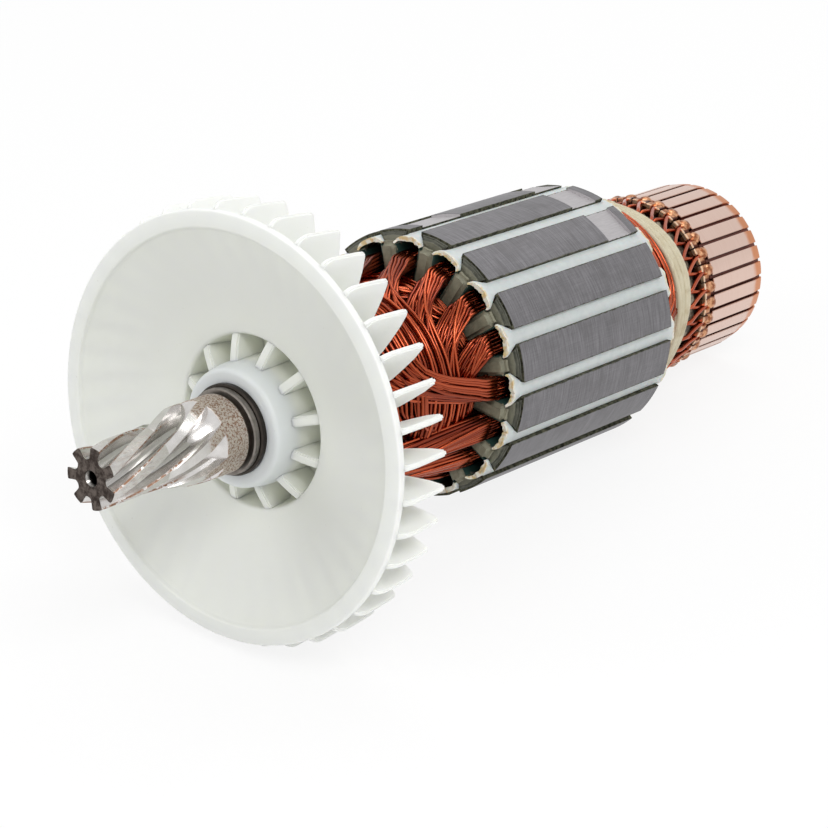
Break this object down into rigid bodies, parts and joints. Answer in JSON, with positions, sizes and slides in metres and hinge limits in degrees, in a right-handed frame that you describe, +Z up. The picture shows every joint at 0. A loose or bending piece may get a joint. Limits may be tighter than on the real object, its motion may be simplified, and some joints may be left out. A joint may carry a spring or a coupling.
{
  "type": "motor armature",
  "caption": "Wound armature of a universal motor: helical pinion shaft, moulded cooling fan, laminated core with wedged slots, coils and hooked commutator.",
  "frame": {"origin": "centre of the base of the bounding box, on the table the armature lies on", "axes": "+Z up; the shaft runs along +Y from the pinion to the commutator and slopes 8.9 degrees down towards the commutator, as the armature rests on its fan blades and core; +X is square to both"},
  "size_m": [0.0846, 0.2008, 0.0842],
  "materials": {
    "shaft_steel": "satin",
    "dark_steel": "satin",
    "lamination_steel": "satin",
    "fan_plastic": "satin",
    "fibre_board": "matte",
    "slot_paper": "matte",
    "wedge_plastic": "satin",
    "sleeve_plastic": "matte",
    "enamelled_wire": "gloss",
    "lacing_cord": "matte",
    "varnish_cement": "matte",
    "bar_copper": "satin",
    "phenolic": "matte",
    "bush_brass": "satin"
  },
  "bodies": {
    "root": {"pinion_shaft": "shaft_steel", "retaining_ring": "dark_steel", "fan_bush": "dark_steel", "fan": "fan_plastic", "shaft_sleeve": "sleeve_plastic", "core_stack": "lamination_steel", "front_end_insulator": "fibre_board", "rear_end_insulator": "fibre_board", "slot_liners": "slot_paper", "winding_lacing": "lacing_cord", "lead_wires": "enamelled_wire", "lead_cement": "varnish_cement", "commutator_bars": "bar_copper", "commutator_moulding": "phenolic", "commutator_bush": "bush_brass", "slot_wedge_01": "wedge_plastic", "coil_01": "enamelled_wire", "slot_wedge_02": "wedge_plastic", "coil_02": "enamelled_wire", "slot_wedge_03": "wedge_plastic", "coil_03": "enamelled_wire", "slot_wedge_04": "wedge_plastic", "coil_04": "enamelled_wire", "slot_wedge_05": "wedge_plastic", "coil_05": "enamelled_wire", "slot_wedge_06": "wedge_plastic", "coil_06": "enamelled_wire", "slot_wedge_07": "wedge_plastic", "coil_07": "enamelled_wire", "slot_wedge_08": "wedge_plastic", "coil_08": "enamelled_wire", "slot_wedge_09": "wedge_plastic", "coil_09": "enamelled_wire", "slot_wedge_10": "wedge_plastic", "coil_10": "enamelled_wire", "slot_wedge_11": "wedge_plastic", "coil_11": "enamelled_wire", "slot_wedge_12": "wedge_plastic", "coil_12": "enamelled_wire", "slot_wedge_13": "wedge_plastic", "coil_13": "enamelled_wire", "slot_wedge_14": "wedge_plastic", "coil_14": "enamelled_wire", "slot_wedge_15": "wedge_plastic", "coil_15": "enamelled_wire", "slot_wedge_16": "wedge_plastic", "coil_16": "enamelled_wire"}
  },
  "joints": []
}
